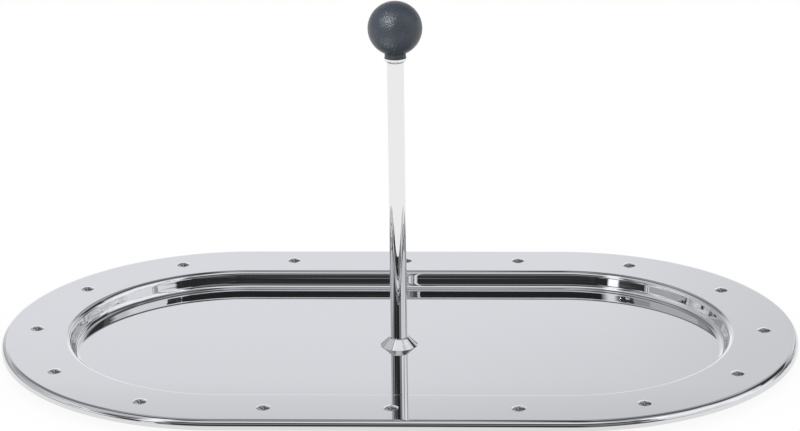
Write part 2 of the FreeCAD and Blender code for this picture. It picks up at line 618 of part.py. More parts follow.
def make_screw():
    """Low-head socket screw that comes up from below into the post."""
    body = new_body("fixing_screw")
    shank = size("screw_diameter") / 2
    head = size("screw_head_diameter") / 2
    chamfer = size("screw_head_chamfer")
    tip = boss_top + size("screw_reach")
    points = [(0, head_foot), (head - chamfer, head_foot), (head, head_foot + chamfer),
              (head, head_top), (shank, head_top), (shank, tip - chamfer), (shank - chamfer, tip),
              (0, tip)]
    sketch = new_sketch(body, "screw_section", "XZ_Plane")
    foot, head_chamfer, head_side, head_seat, shank_side, tip_chamfer, top, axis = \
        add_outline(sketch, points)
    sketch.addConstraint(Sketcher.Constraint("PointOnObject", foot, 1, -2))
    bind(sketch, HEAD_FOOT, "DistanceY", -1, 1, foot, 1, head_foot)
    bind(sketch, "Sizes.screw_head_diameter / 2", "DistanceX", -1, 1, head_side, 1, head)
    bind(sketch, "Sizes.screw_head_chamfer", "DistanceX", head_chamfer, 1, head_chamfer, 2, chamfer)
    bind(sketch, "Sizes.screw_head_chamfer", "DistanceY", head_chamfer, 1, head_chamfer, 2, chamfer)
    bind(sketch, "Sizes.screw_head_height", "DistanceY", foot, 1, head_seat, 1,
         size("screw_head_height"))
    bind(sketch, "Sizes.screw_diameter / 2", "DistanceX", -1, 1, shank_side, 1, shank)
    bind(sketch, f"{BOSS_TOP} + Sizes.screw_reach", "DistanceY", -1, 1, top, 1, tip)
    bind(sketch, "Sizes.screw_head_chamfer", "DistanceX", tip_chamfer, 2, tip_chamfer, 1, chamfer)
    bind(sketch, "Sizes.screw_head_chamfer", "DistanceY", tip_chamfer, 1, tip_chamfer, 2, chamfer)
    revolve(body, "screw_turning", sketch)
    doc.recompute()

    key = new_sketch(body, "socket_outline", "XY_Plane")
    key.setExpression("AttachmentOffset.Base.z", HEAD_FOOT)
    corner_radius = size("socket_width") / 2 / math.cos(math.pi / SOCKET_SIDES)
    turns = [2 * math.pi / SOCKET_SIDES * corner for corner in range(SOCKET_SIDES)]
    corners = [(corner_radius * math.cos(turn), corner_radius * math.sin(turn)) for turn in turns]
    flats = [add_line(key, a, b) for a, b in zip(corners, corners[1:] + corners[:1])]
    guide = key.addGeometry(
        Part.Circle(FreeCAD.Vector(0, 0, 0), FreeCAD.Vector(0, 0, 1), corner_radius), True)
    key.addConstraint(Sketcher.Constraint("Coincident", guide, 3, -1, 1))
    for here, following in zip(flats, flats[1:] + flats[:1]):
        key.addConstraint(Sketcher.Constraint("Coincident", here, 2, following, 1))
        key.addConstraint(Sketcher.Constraint("PointOnObject", here, 1, guide))
    for flat in flats[1:]:
        key.addConstraint(Sketcher.Constraint("Equal", flats[0], flat))
    key.addConstraint(Sketcher.Constraint("Horizontal", flats[1]))
    bind(key, f"Sizes.socket_width / 2 / cos(180 / {SOCKET_SIDES})", "Radius", guide, corner_radius)
    socket = body.newObject("PartDesign::Pocket", "socket")
    socket.Profile = key
    socket.Reversed = True
    socket.setExpression("Length", "Sizes.socket_depth")
    return body


def make_washer():
    """Split ring, pressed flat between the screw's head and the underside of the boss."""
    body = new_body("spring_washer")
    inner = size("washer_bore") / 2
    outer = size("washer_diameter") / 2
    points = [(inner, head_top), (outer, head_top), (outer, washer_top), (inner, washer_top)]
    sketch = new_sketch(body, "washer_section", "XZ_Plane")
    under, outside, top, bore = add_outline(sketch, points)
    bind(sketch, HEAD_TOP, "DistanceY", -1, 1, under, 1, head_top)
    bind(sketch, "Sizes.washer_bore / 2", "DistanceX", -1, 1, under, 1, inner)
    bind(sketch, "Sizes.washer_diameter / 2", "DistanceX", -1, 1, under, 2, outer)
    bind(sketch, "Sizes.washer_thickness", "DistanceY", outside, 1, outside, 2,
         size("washer_thickness"))
    revolve(body, "washer_ring", sketch)
    doc.recompute()

    half = size("washer_slit") / 2
    slit_outline = new_sketch(body, "slit_outline", "XY_Plane")
    slit_points = [(0, -half), (outer + LAP, -half), (outer + LAP, half), (0, half)]
    low, far, high, near = add_outline(slit_outline, slit_points)
    slit_outline.addConstraint(Sketcher.Constraint("PointOnObject", near, 1, -2))
    bind(slit_outline, "Sizes.washer_slit / 2", "DistanceY", far, 1, -1, 1, half)
    bind(slit_outline, "Sizes.washer_slit", "DistanceY", far, 1, far, 2, 2 * half)
    bind(slit_outline, f"Sizes.washer_diameter / 2 + {LAP}", "DistanceX", low, 1, low, 2,
         outer + LAP)
    slit = body.newObject("PartDesign::Pocket", "washer_slit")
    slit.Profile = slit_outline
    slit.Type = "ThroughAll"
    slit.Midplane = True
    return body


pieces = [make_tray(), make_post(), make_ferrule(), make_knob(), make_screw(), make_washer()]
doc.recompute()

for item in doc.Objects:
    if "Invalid" in item.State or "Error" in item.State:
        raise RuntimeError(f"{item.Name} did not build: {item.State}")
for piece in pieces:
    if piece.Shape.isNull() or not piece.Shape.isValid():
        raise RuntimeError(f"{piece.Label} has no valid shape")

for piece in pieces:
    piece.Placement = FreeCAD.Placement()
    piece.Shape.exportStep(f"parts/{piece.Label}.step")
    print(piece.Label, len(piece.Shape.Solids), "solid", round(piece.Shape.Volume, 1), "mm3",
          [round(v, 2) for v in (piece.Shape.BoundBox.XLength, piece.Shape.BoundBox.YLength,
                                 piece.Shape.BoundBox.ZMin, piece.Shape.BoundBox.ZMax)])
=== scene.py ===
import math

import bpy
import numpy as np
from mathutils import Matrix, Vector


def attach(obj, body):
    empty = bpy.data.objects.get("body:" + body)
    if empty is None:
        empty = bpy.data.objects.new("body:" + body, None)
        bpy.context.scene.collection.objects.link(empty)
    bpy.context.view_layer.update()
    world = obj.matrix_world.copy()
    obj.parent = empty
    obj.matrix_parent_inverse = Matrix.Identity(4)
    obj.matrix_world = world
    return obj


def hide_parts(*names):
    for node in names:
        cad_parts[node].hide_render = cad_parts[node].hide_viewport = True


# Polished steel serving tray with an upright post and a ball knob, on a white table.
# Metres, Z up, origin on the table under the post, X along the tray.
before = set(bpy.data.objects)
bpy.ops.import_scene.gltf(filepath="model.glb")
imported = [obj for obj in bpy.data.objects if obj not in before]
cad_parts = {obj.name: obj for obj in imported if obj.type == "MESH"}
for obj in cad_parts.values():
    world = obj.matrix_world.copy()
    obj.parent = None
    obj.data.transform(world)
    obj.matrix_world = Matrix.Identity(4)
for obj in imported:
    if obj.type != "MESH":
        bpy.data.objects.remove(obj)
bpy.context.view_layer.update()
mm = 0.001
print("frame loaded:", ", ".join(sorted(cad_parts)))


# Colour and node helpers

def linear(hexColour):
    # sRGB hex to linear light: c / 12.92 when dark, ((c + 0.055) / 1.055) ^ 2.4 above that
    channels = np.array([int(hexColour[i:i + 2], 16) for i in (1, 3, 5)]) / 255
    bright = ((channels + 0.055) / 1.055) ** 2.4
    return (*map(float, np.where(channels <= 0.04045, channels / 12.92, bright)), 1.0)


def addNode(tree, kind, inputs=None, **settings):
    # one node with its settings; an input is either a value or a socket to link from
    node = tree.nodes.new(kind)
    for name, value in settings.items():
        setattr(node, name, value)
    for socket, value in (inputs or {}).items():
        if isinstance(value, bpy.types.NodeSocket):
            tree.links.new(value, node.inputs[socket])
        else:
            node.inputs[socket].default_value = value
    return node


def addMath(tree, operation, *inputs, **settings):
    # one step of arithmetic on values or sockets; gives its result as a socket
    node = addNode(tree, "ShaderNodeMath", dict(enumerate(inputs)), operation=operation, **settings)
    return node.outputs[0]


def newMaterial(name):
    material = bpy.data.materials.new(name)
    material.use_nodes = True
    return material, material.node_tree, material.node_tree.nodes["Principled BSDF"]


# Profiles and grids

def bentPath(corners, radii, steps, stations=None):
    # Straight runs joined by tangent arcs. An arc of radius r at a corner that turns by a starts
    # r tan(a / 2) before it; its points are centre + r (cos t, sin t) over equal steps of t.
    # Gives rows of (across, up, normal across, normal up), the normal to the left of the way.
    # stations holds extra places along a run, as distances across, by the run's number.
    corners = [np.array(c, float) for c in corners]
    headings = [(b - a) / np.linalg.norm(b - a) for a, b in zip(corners, corners[1:])]
    leftOf = [np.array((-h[1], h[0])) for h in headings]
    rows = [np.concatenate([corners[0], leftOf[0]])[None]]
    for index, (radius, count) in enumerate(zip(radii, steps)):
        corner, before, after = corners[index + 1], headings[index], headings[index + 1]
        if stations and index in stations:
            places = stations[index]
            level = np.full_like(places, corner[1])
            aside = [np.full_like(places, part) for part in leftOf[index]]
            rows.append(np.column_stack([places, level, *aside]))
        turn = math.atan2(before[0] * after[1] - before[1] * after[0], float(before @ after))
        side = math.copysign(1.0, turn)
        start = corner - before * radius * math.tan(abs(turn) / 2)
        centre = start + leftOf[index] * radius * side
        angles = np.linspace(0.0, turn, count + 1)
        spoke = -side * leftOf[index]
        cos, sin = np.cos(angles), np.sin(angles)
        spokes = np.column_stack([spoke[0] * cos - spoke[1] * sin, spoke[0] * sin + spoke[1] * cos])
        rows.append(np.column_stack([centre + radius * spokes, -side * spokes]))
    rows.append(np.concatenate([corners[-1], leftOf[-1]])[None])
    return np.concatenate(rows)


def rightPath(corners, radii, steps):
    # a bent path with its normals to the right of the way
    return bentPath(corners, radii, steps) * np.array([1, 1, -1, -1])


def swept(pairs, outX, outY):
    # (out * x, out * y, up) for each row's pair (out, up) and each column's heading (x, y)
    out, up = pairs[:, 0, None], pairs[:, 1, None]
    return np.stack([out * outX, out * outY, up * np.ones_like(outX)], axis=-1)


def gridMesh(name, points, normals, closeRows=False, poles=()):
    # points is a grid [row, column, xyz] whose columns run right round; the rows close on
    # themselves, or the first and last rows shrink to one point each, a pole
    rowCount, columnCount = points.shape[:2]
    number = np.arange(rowCount * columnCount).reshape(rowCount, columnCount)
    nextColumn = np.roll(number, -1, axis=1)
    vertices, vertexNormals = points.reshape(-1, 3), normals.reshape(-1, 3)
    lower, upper = (slice(None), slice(None)) if closeRows else (slice(None, -1), slice(1, None))
    shift = -1 if closeRows else 0
    above = np.roll(number, shift, axis=0)[upper]
    aboveNext = np.roll(nextColumn, shift, axis=0)[upper]
    quads = np.stack([number[lower], nextColumn[lower], aboveNext, above], axis=-1).reshape(-1, 4)
    faces = quads.tolist()
    for pole, row, flip in zip(poles, (0, -1), (True, False)):
        tip = len(vertices)
        vertices = np.concatenate([vertices, [pole[0]]])
        vertexNormals = np.concatenate([vertexNormals, [pole[1]]])
        ring, ringNext = number[row], nextColumn[row]
        ends = (ringNext, ring) if flip else (ring, ringNext)
        faces += np.stack([*ends, np.full_like(ring, tip)], axis=-1).tolist()
    mesh = bpy.data.meshes.new(name)
    mesh.from_pydata(vertices, [], faces)
    mesh.shade_smooth()
    mesh.normals_split_custom_set_from_vertices(vertexNormals)
    piece = bpy.data.objects.new(name, mesh)
    bpy.context.scene.collection.objects.link(piece)
    return piece


def turned(name, path, columns, bored=False):
    # A profile in mm turned about the upright axis: (r cos a, r sin a, z), a going right round.
    # A bored one closes on itself. Any other starts and ends on the axis, with a pole at each end.
    path = path * np.array([mm, mm, 1, 1])
    angles = np.linspace(0, 2 * math.pi, columns, endpoint=False)
    cos, sin = np.cos(angles), np.sin(angles)
    rows = path if bored else path[1:-1]
    points, normals = swept(rows[:, :2], cos, sin), swept(rows[:, 2:], cos, sin)
    ends = [((0, 0, row[1]), (0, 0, math.copysign(1.0, row[3]))) for row in (path[0], path[-1])]
    return gridMesh(name, points, normals, closeRows=bored, poles=() if bored else ends)


# Camera, at the height and angle of the photograph

view = {
    "place": (0.0591, -1.3769, 0.5550),
    "pitch": 19.266,         # degrees below the horizon
    "yaw": -2.402,           # degrees from +Y towards +X
    "roll": -0.750,
    "lens": 126.0,           # mm
    "frameWidth": 36.0,      # mm
    "clip": (0.01, 50.0),    # metres
}


def placeCamera():
    pitch, yaw, roll = (math.radians(view[key]) for key in ("pitch", "yaw", "roll"))
    forward = Vector((math.sin(yaw) * math.cos(pitch), math.cos(yaw) * math.cos(pitch),
                      -math.sin(pitch)))
    level = Vector((math.cos(yaw), -math.sin(yaw), 0))
    upright = level.cross(forward)
    right = math.cos(roll) * level + math.sin(roll) * upright
    up = -math.sin(roll) * level + math.cos(roll) * upright
    data = bpy.data.cameras.new("camera")
    data.sensor_fit = "HORIZONTAL"
    data.sensor_width = view["frameWidth"]
    data.lens = view["lens"]
    data.clip_start, data.clip_end = view["clip"]
    camera = bpy.data.objects.new("camera", data)
    turn = Matrix((right, up, -forward)).transposed().to_4x4()
    camera.matrix_world = Matrix.Translation(view["place"]) @ turn
    bpy.context.scene.collection.objects.link(camera)
    bpy.context.scene.camera = camera


placeCamera()
print("camera placed")


# Tray

tray = {
    "endCentre": 87.0, "radius": 123.0, "sheet": 1.0, "rimTop": 9.6, "rimWidth": 33.6,
    "wallAngle": 75.0, "rimBend": 3.3, "floorBend": 3.7, "edgeBend": 3.4, "edgeFoot": 4.8,
    "lipRounding": 0.3,
    "bossFoot": 10.0, "bossTop": 5.7, "bossHole": 2.25, "seatRadius": 4.4,
    "bossTopBend": 1.4, "bossFootBend": 0.6,
    "bossApron": 2.0, "wallApron": 6.0,     # flat floor beside the boss and beside the wall
    "pipPath": 105.4, "pipCount": 16, "pipRadius": 3.5, "pipHeight": 1.2, "pipBlend": 0.3,
    "pipReach": 3.7, "pipStepsShow": 16, "pipStepsHidden": 10,
    # steps of the boss's two bends, and of the bends at floor, rim and edge
    "bossStepsShow": (6, 5), "bossStepsHidden": (3, 3),
    "rimStepsShow": (8, 9, 10), "rimStepsHidden": (4, 4, 5),
    "floorRows": 2, "lipSteps": 8, "columnsBetween": 20,
    "columnDigits": 6,                      # columns as near as a millionth of a mm are one
}


def skinSection(shift, bossSteps, rimSteps, pipSteps):
    # One skin of the sheet, from the hole in the boss outwards. The show side has shift 0 and the
    # hidden side has shift 1 sheet: each corner moves by shift / (1 + a.b) (a' + b'), a and b
    # being the two headings and a' and b' their right-hand normals.
    t = tray
    wall = math.radians(t["wallAngle"])
    wallHead = t["radius"] - t["rimWidth"] - t["rimBend"] * math.tan(wall / 2)
    wallFoot = wallHead - (t["rimTop"] - t["sheet"]) / math.tan(wall)
    # the boss's side touches both bends and runs between them
    bends, across = t["bossTopBend"] + t["bossFootBend"], t["bossFoot"] - t["seatRadius"]
    height = t["bossTop"] - t["sheet"] - bends
    slope = math.atan2(height, across) + math.asin(bends / math.hypot(across, height))
    boss = [(t["bossHole"], t["bossTop"]),
            (t["seatRadius"] + t["bossTopBend"] * math.tan(slope / 2), t["bossTop"]),
            (t["bossFoot"] - t["bossFootBend"] * math.tan(slope / 2), t["sheet"]),
            (t["bossFoot"] + t["bossApron"], t["sheet"])]
    rim = [(wallFoot - t["wallApron"], t["sheet"]), (wallFoot, t["sheet"]), (wallHead, t["rimTop"]),
           (t["radius"], t["rimTop"]), (t["radius"], t["edgeFoot"])]

    def moved(corners):
        corners = np.array(corners)
        ways = np.diff(corners, axis=0)
        ways /= np.linalg.norm(ways, axis=1, keepdims=True)
        aside = np.column_stack([ways[:, 1], -ways[:, 0]])
        share = shift / (1 + (ways[:-1] * ways[1:]).sum(1, keepdims=True))
        inner = corners[1:-1] + share * (aside[:-1] + aside[1:])
        first, last = corners[:1] + shift * aside[:1], corners[-1:] + shift * aside[-1:]
        return np.concatenate([first, inner, last])

    bossBends = [t["bossTopBend"] - shift, t["bossFootBend"] + shift]
    rimBends = [t["floorBend"] + shift, t["rimBend"] - shift, t["edgeBend"] - shift]
    pipPlaces = t["pipPath"] + np.linspace(-t["pipReach"], t["pipReach"], pipSteps + 1)
    bossPath = bentPath(moved(boss), bossBends, bossSteps)
    rimPath = bentPath(moved(rim), rimBends, rimSteps, stations={2: pipPlaces})
    return bossPath, rimPath


def pipForm(distance, shift):
    # Height of a pip over the flat rim: a ball cap of radius R, c + sqrt(R^2 - d^2), that flares
    # into the rim in a hollow arc, b - sqrt(B^2 - (f - d)^2). Also gives the slope. Both are 0
    # outside the pip.
    height, blend = tray["pipHeight"], tray["pipBlend"]
    cap = (tray["pipRadius"] ** 2 + height ** 2) / (2 * height)
    foot = math.sqrt(height * (2 * (cap + blend) - height))
    lean = math.atan2(foot, blend + cap - height)
    capNow, blendNow = cap - shift, blend + shift
    onCap = distance < capNow * math.sin(lean)
    onBlend = ~onCap & (distance < foot)
    inCap = np.where(onCap, distance, 0)
    inBlend = np.where(onBlend, foot - distance, 0)
    capRoot = np.sqrt(capNow ** 2 - inCap ** 2)
    blendRoot = np.sqrt(blendNow ** 2 - inBlend ** 2)
    rise = (np.where(onCap, height - cap + capRoot + shift, 0)
            + np.where(onBlend, blendNow - blendRoot, 0))
    slope = np.where(onCap, -inCap / capRoot, 0) + np.where(onBlend, -inBlend / blendRoot, 0)
    return rise, slope


def obround(along, offset):
    # Point at a distance along the pips' path, moved out to an offset from the middle line.
    # Straight from the middle of the back side to the right end, a half circle, and so on round.
    half, path = tray["endCentre"], tray["pipPath"]
    arc = math.pi * path
    total = 4 * half + 2 * arc
    along = np.mod(along, total)
    firstArc = np.clip(along - half, 0, arc)
    secondArc = np.clip(along - 3 * half - arc, 0, arc)
    turn = (firstArc + secondArc) / path
    forwards = np.clip(along, 0, half) + np.clip(along - 3 * half - 2 * arc, 0, half)
    middle = forwards - np.clip(along - half - arc, 0, 2 * half)
    outX, outY = np.sin(turn), np.cos(turn)
    return middle + offset * outX, offset * outY, outX, outY


def makeTray():
    # Boss rows are circles about the post and rim rows are obrounds; the flat floor lies between.
    # Point = (x, y) of the row's curve at the column's place, z of the section, plus the pips.
    t = tray
    halfArc = math.pi * t["pipPath"]
    total = 4 * t["endCentre"] + 2 * halfArc
    pitch = total / t["pipCount"]
    near = np.linspace(-t["pipReach"], t["pipReach"], t["pipStepsShow"] + 1)
    between = np.linspace(t["pipReach"], pitch - t["pipReach"], t["columnsBetween"] + 1)[1:-1]
    pips = np.arange(t["pipCount"])[:, None] * pitch
    columns = (pips + np.concatenate([near, between])).ravel()
    joints = np.array([t["endCentre"], t["endCentre"] + halfArc, 3 * t["endCentre"] + halfArc,
                       3 * t["endCentre"] + 2 * halfArc])
    columns = np.mod(np.concatenate([columns, joints]), total)
    columns = np.unique(np.round(columns, t["columnDigits"]))
    pipX, pipY, _, _ = obround(np.round(columns / pitch) * pitch, t["pipPath"])
    pathX, pathY, outX, outY = obround(columns, t["pipPath"])
    bearing = np.arctan2(pathY, pathX)

    def skin(shift, face, bossSteps, rimSteps, pipSteps):
        bossPath, rimPath = skinSection(shift, bossSteps, rimSteps, pipSteps)
        bossPoints, bossNormals = (swept(pairs, np.cos(bearing), np.sin(bearing))
                                   for pairs in (bossPath[:, :2], bossPath[:, 2:]))
        x, y, _, _ = obround(columns[None], rimPath[:, 0, None])
        level = rimPath[:, 1, None] * np.ones_like(columns)
        flat = swept(rimPath[:, 2:], outX, outY)
        reachX, reachY = x - pipX, y - pipY
        distance = np.hypot(reachX, reachY)
        rise, slope = pipForm(distance, shift)
        rimPoints = np.stack([x, y, level + rise], axis=-1)
        tiny = 1e-9     # keeps a pip's own centre out of the division
        lean = -slope / np.maximum(distance, tiny)
        domed = np.stack([lean * reachX, lean * reachY, np.ones_like(lean)], axis=-1)
        rimNormals = np.where((slope < 0)[..., None], domed, flat)
        rimNormals /= np.linalg.norm(rimNormals, axis=-1, keepdims=True)
        share = np.linspace(0, 1, t["floorRows"] + 2)[1:-1, None, None]
        floorPoints = (1 - share) * bossPoints[-1] + share * rimPoints[0]
        floorNormals = np.broadcast_to((0.0, 0.0, 1.0), floorPoints.shape)
        points = np.concatenate([bossPoints, floorPoints, rimPoints])
        return points, face * np.concatenate([bossNormals, floorNormals, rimNormals])

    show, showNormals = skin(0.0, 1, t["bossStepsShow"], t["rimStepsShow"], t["pipStepsShow"])
    hidden, hiddenNormals = skin(t["sheet"], -1, t["bossStepsHidden"], t["rimStepsHidden"],
                                 t["pipStepsHidden"])
    # The lip under the turned-down edge is rounded. The end rows of both skins step up by the
    # rounding r, and rows for t from 0 to pi join them: w sign(cos t) (1 - (1 - |cos t|) r / w)
    # across from the middle of the sheet, w being half its thickness, and r (1 - sin t) up.
    r = t["lipRounding"]
    turn = np.linspace(0, math.pi, t["lipSteps"] + 1)[1:-1]
    cos, sin = np.cos(turn), np.sin(turn)
    lipCentre = t["radius"] - t["sheet"] / 2
    wide = t["sheet"] / 2
    lipAcross = lipCentre + wide * np.sign(cos) * (1 - (1 - np.abs(cos)) * r / wide)
    lipUp = t["edgeFoot"] + r * (1 - sin)
    x, y, _, _ = obround(columns[None], lipAcross[:, None])
    lip = np.stack([x, y, lipUp[:, None] * np.ones_like(columns)], axis=-1)
    lipNormals = swept(np.column_stack([cos, -sin]), outX, outY)
    show[-1, :, 2] += r
    hidden[-1, :, 2] += r
    points = np.concatenate([show, lip, hidden[::-1]]) * mm
    normals = np.concatenate([showNormals, lipNormals, hiddenNormals[::-1]])
    return gridMesh("tray_pressing", points, normals, closeRows=True)


trayPiece = makeTray()
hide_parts("tray")
print("tray made:", len(trayPiece.data.polygons), "faces")


# Post, ferrule and knob, each turned about the same axis

hiddenEdge = 0.05     # mm, the rounding of edges out of sight
post = {
    "radius": 4.4, "foot": 5.7, "top": 156.7, "rounding": 0.25, "bore": 2.05, "boreTop": 20.7,
    "spigot": 2.5, "spigotTop": 169.7, "steps": (2, 2, 5, 5, 2, 4), "columns": 192,
}
ferrule = {
    "bore": 2.55, "foot": 4.7, "rim": 5.95, "height": 2.4, "top": 159.1, "lipFoot": 158.4,
    "seat": 5.55, "seatFloor": 158.1, "rounding": 0.12, "lipLead": 0.1, "footLead": 0.2,
    "flareRows": 10, "steps": (5, 5, 2, 2, 2), "columns": 160,
}
knob = {
    "radius": 14.0, "centre": 174.4, "neck": 5.5, "neckFoot": 158.1, "bore": 2.55,
    "boreTop": 171.7, "boreRounding": 0.2, "rounding": 0.3,
    "blendAngle": 0.035, "neckGap": 0.35,     # radians and mm between the neck and the ball's rows
    "steps": (2, 3, 5), "columns": 160, "rows": 72,
}


def makePost():
    p = post
    corners = [(0, p["boreTop"]), (p["bore"], p["boreTop"]), (p["bore"], p["foot"]),
               (p["radius"], p["foot"]), (p["radius"], p["top"]), (p["spigot"], p["top"]),
               (p["spigot"], p["spigotTop"]), (0, p["spigotTop"])]
    radii = [hiddenEdge, hiddenEdge, p["rounding"], p["rounding"], hiddenEdge, p["rounding"]]
    return turned("post_rod", rightPath(corners, radii, p["steps"]), p["columns"])


def makeFerrule():
    # The flare is an arc that leaves the foot and stands upright where the lip begins:
    # its radius is (w^2 + h^2) / 2w for a flare w wide and h high.
    f = ferrule
    foot = f["top"] - f["height"]
    wide, high = f["rim"] - f["foot"], f["lipFoot"] - f["top"] + f["height"]
    bend = (wide ** 2 + high ** 2) / (2 * wide)
    angles = np.linspace(-math.asin(high / bend), 0, f["flareRows"])
    cos, sin = np.cos(angles), np.sin(angles)
    flare = np.column_stack([f["rim"] - bend + bend * cos, f["lipFoot"] + bend * sin, cos, sin])
    corners = [(f["rim"], f["lipFoot"] + f["lipLead"]), (f["rim"], f["top"]),
               (f["seat"], f["top"]), (f["seat"], f["seatFloor"]), (f["bore"], f["seatFloor"]),
               (f["bore"], foot), (f["foot"] - f["footLead"], foot)]
    radii = [f["rounding"], f["rounding"], hiddenEdge, hiddenEdge, hiddenEdge]
    path = np.concatenate([flare, rightPath(corners, radii, f["steps"])])
    return turned("ferrule_cup", path, f["columns"], bored=True)


def makeKnob():
    # Bore, neck, and the ball z = centre - R cos t, r = R sin t, with t from the neck to the top.
    k = knob
    start = math.asin(k["neck"] / k["radius"]) + k["blendAngle"]
    angles = np.linspace(start, math.pi, k["rows"] + 1)
    cos, sin = np.cos(angles), np.sin(angles)
    ball = np.column_stack([k["radius"] * sin, k["centre"] - k["radius"] * cos, sin, -cos])
    neckTop = ball[0, 1] - k["neckGap"]
    corners = [(0, k["boreTop"]), (k["bore"], k["boreTop"]), (k["bore"], k["neckFoot"]),
               (k["neck"], k["neckFoot"]), (k["neck"], neckTop)]
    radii = [hiddenEdge, k["boreRounding"], k["rounding"]]
    path = np.concatenate([rightPath(corners, radii, k["steps"]), ball])
    path[-1, 0] = 0
    return turned("ball_knob_moulding", path, k["columns"])


postPiece, ferrulePiece, knobPiece = makePost(), makeFerrule(), makeKnob()
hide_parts("post")
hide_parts("top_ferrule")
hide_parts("ball_knob")
print("post, ferrule and knob made")


# Materials, with their sizes and depths in mm

def mirrorSteel(name, colour, drawDepth):
    # Stainless steel buffed to a mirror: sharp reflections, a trace of wipe marks in the gloss and
    # a very slight unevenness left by pressing. Draw marks run level round the well's wall and
    # break its reflections into thin lines.
    look = {
        "cleanRoughness": 0.012, "hazeRoughness": 0.035, "hazeSize": 45, "hazeDetail": 4.0,
        "hazeBreak": 0.6, "hazeSwirl": 0.8, "hazeFrom": 0.35, "hazeTo": 0.75,
        "waveSize": 60, "waveDepth": 0.0006,
        "drawPitch": 2.2, "drawLength": 400, "drawDetail": 1.0,
    }
    material, tree, shader = newMaterial(name)
    shader.inputs["Base Color"].default_value = linear(colour)
    shader.inputs["Metallic"].default_value = 1.0
    place = addNode(tree, "ShaderNodeTexCoord").outputs["Object"]
    haze = addNode(tree, "ShaderNodeTexNoise",
                   {"Vector": place, "Scale": 1 / (look["hazeSize"] * mm),
                    "Detail": look["hazeDetail"], "Roughness": look["hazeBreak"],
                    "Distortion": look["hazeSwirl"]})
    gloss = addNode(tree, "ShaderNodeMapRange",
                    {"Value": haze.outputs["Fac"],
                     "From Min": look["hazeFrom"], "From Max": look["hazeTo"],
                     "To Min": look["cleanRoughness"], "To Max": look["hazeRoughness"]})
    tree.links.new(gloss.outputs["Result"], shader.inputs["Roughness"])
    wave = addNode(tree, "ShaderNodeTexNoise",
                   {"Vector": place, "Scale": 1 / (look["waveSize"] * mm), "Detail": 0.0})
    bump = addNode(tree, "ShaderNodeBump", {"Height": wave.outputs["Fac"], "Strength": 1.0,
                                            "Distance": look["waveDepth"] * mm})
    along, up = 1 / (look["drawLength"] * mm), 1 / (look["drawPitch"] * mm)
    level = addNode(tree, "ShaderNodeMapping", {"Vector": place, "Scale": (along, along, up)})
    marks = addNode(tree, "ShaderNodeTexNoise", {"Vector": level.outputs["Vector"], "Scale": 1.0,
                                                 "Detail": look["drawDetail"]})
    drawn = addNode(tree, "ShaderNodeBump",
                    {"Height": marks.outputs["Fac"], "Strength": 1.0,
                     "Distance": drawDepth * mm, "Normal": bump.outputs["Normal"]})
    tree.links.new(drawn.outputs["Normal"], shader.inputs["Normal"])
    return material


def mouldedKnob():
    # Polyamide moulded against a spark-eroded cavity: dark blue-grey, matte, with a fine grain
    # that breaks the highlight into specks. The grain is drawn at 0.8 mm, coarser than the real
    # 0.1 mm, so that it shows in the picture.
    look = {"colour": "#1b2026", "pale": "#343a44", "roughness": 0.33,
            "grain": 0.8, "grainDepth": 0.3, "grainDetail": 2.0, "grainBreak": 0.6}
    material, tree, shader = newMaterial("polyamide, spark-textured matte")
    place = addNode(tree, "ShaderNodeTexCoord").outputs["Object"]
    grain = addNode(tree, "ShaderNodeTexNoise",
                    {"Vector": place, "Scale": 1 / (look["grain"] * mm),
                     "Detail": look["grainDetail"], "Roughness": look["grainBreak"]})
    tint = addNode(tree, "ShaderNodeMix", {"Factor": grain.outputs["Fac"]}, data_type="RGBA")
    tint.inputs["A"].default_value = linear(look["colour"])
    tint.inputs["B"].default_value = linear(look["pale"])
    tree.links.new(tint.outputs["Result"], shader.inputs["Base Color"])
    shader.inputs["Roughness"].default_value = look["roughness"]
    bump = addNode(tree, "ShaderNodeBump", {"Height": grain.outputs["Fac"], "Strength": 1.0,
                                            "Distance": look["grainDepth"] * mm})
    tree.links.new(bump.outputs["Normal"], shader.inputs["Normal"])
    return material


def plainSteel():
    # Bright zinc-plated fastener steel: greyer and softer than the tray, with turning rings. The
    # wave texture draws a ring at every 2 pi / 20 of its scaled place.
    look = {"colour": "#b9bbbd", "dull": "#8f9193", "ringPitch": math.pi / 2, "ringDepth": 0.004,
            "ringWaver": 0.6, "ringDetail": 2.0, "stainSize": 2, "stainDetail": 3.0,
            "cleanRoughness": 0.25, "dullRoughness": 0.4}
    material, tree, shader = newMaterial("fastener steel, turned and plated")
    shader.inputs["Metallic"].default_value = 1.0
    place = addNode(tree, "ShaderNodeTexCoord").outputs["Object"]
    rings = addNode(tree, "ShaderNodeTexWave",
                    {"Vector": place, "Scale": 2 * math.pi / 20 / (look["ringPitch"] * mm),
                     "Distortion": look["ringWaver"], "Detail": look["ringDetail"]},
                    wave_type="RINGS", rings_direction="Z")
    stain = addNode(tree, "ShaderNodeTexNoise",
                    {"Vector": place, "Scale": 1 / (look["stainSize"] * mm),
                     "Detail": look["stainDetail"]})
    tint = addNode(tree, "ShaderNodeMix", {"Factor": stain.outputs["Fac"]}, data_type="RGBA")
    tint.inputs["A"].default_value = linear(look["colour"])
    tint.inputs["B"].default_value = linear(look["dull"])
    tree.links.new(tint.outputs["Result"], shader.inputs["Base Color"])
    gloss = addNode(tree, "ShaderNodeMapRange",
                    {"Value": stain.outputs["Fac"], "To Min": look["cleanRoughness"],
                     "To Max": look["dullRoughness"]})
    tree.links.new(gloss.outputs["Result"], shader.inputs["Roughness"])
    bump = addNode(tree, "ShaderNodeBump", {"Height": rings.outputs["Fac"],
                                            "Distance": look["ringDepth"] * mm})
    tree.links.new(bump.outputs["Normal"], shader.inputs["Normal"])
    return material


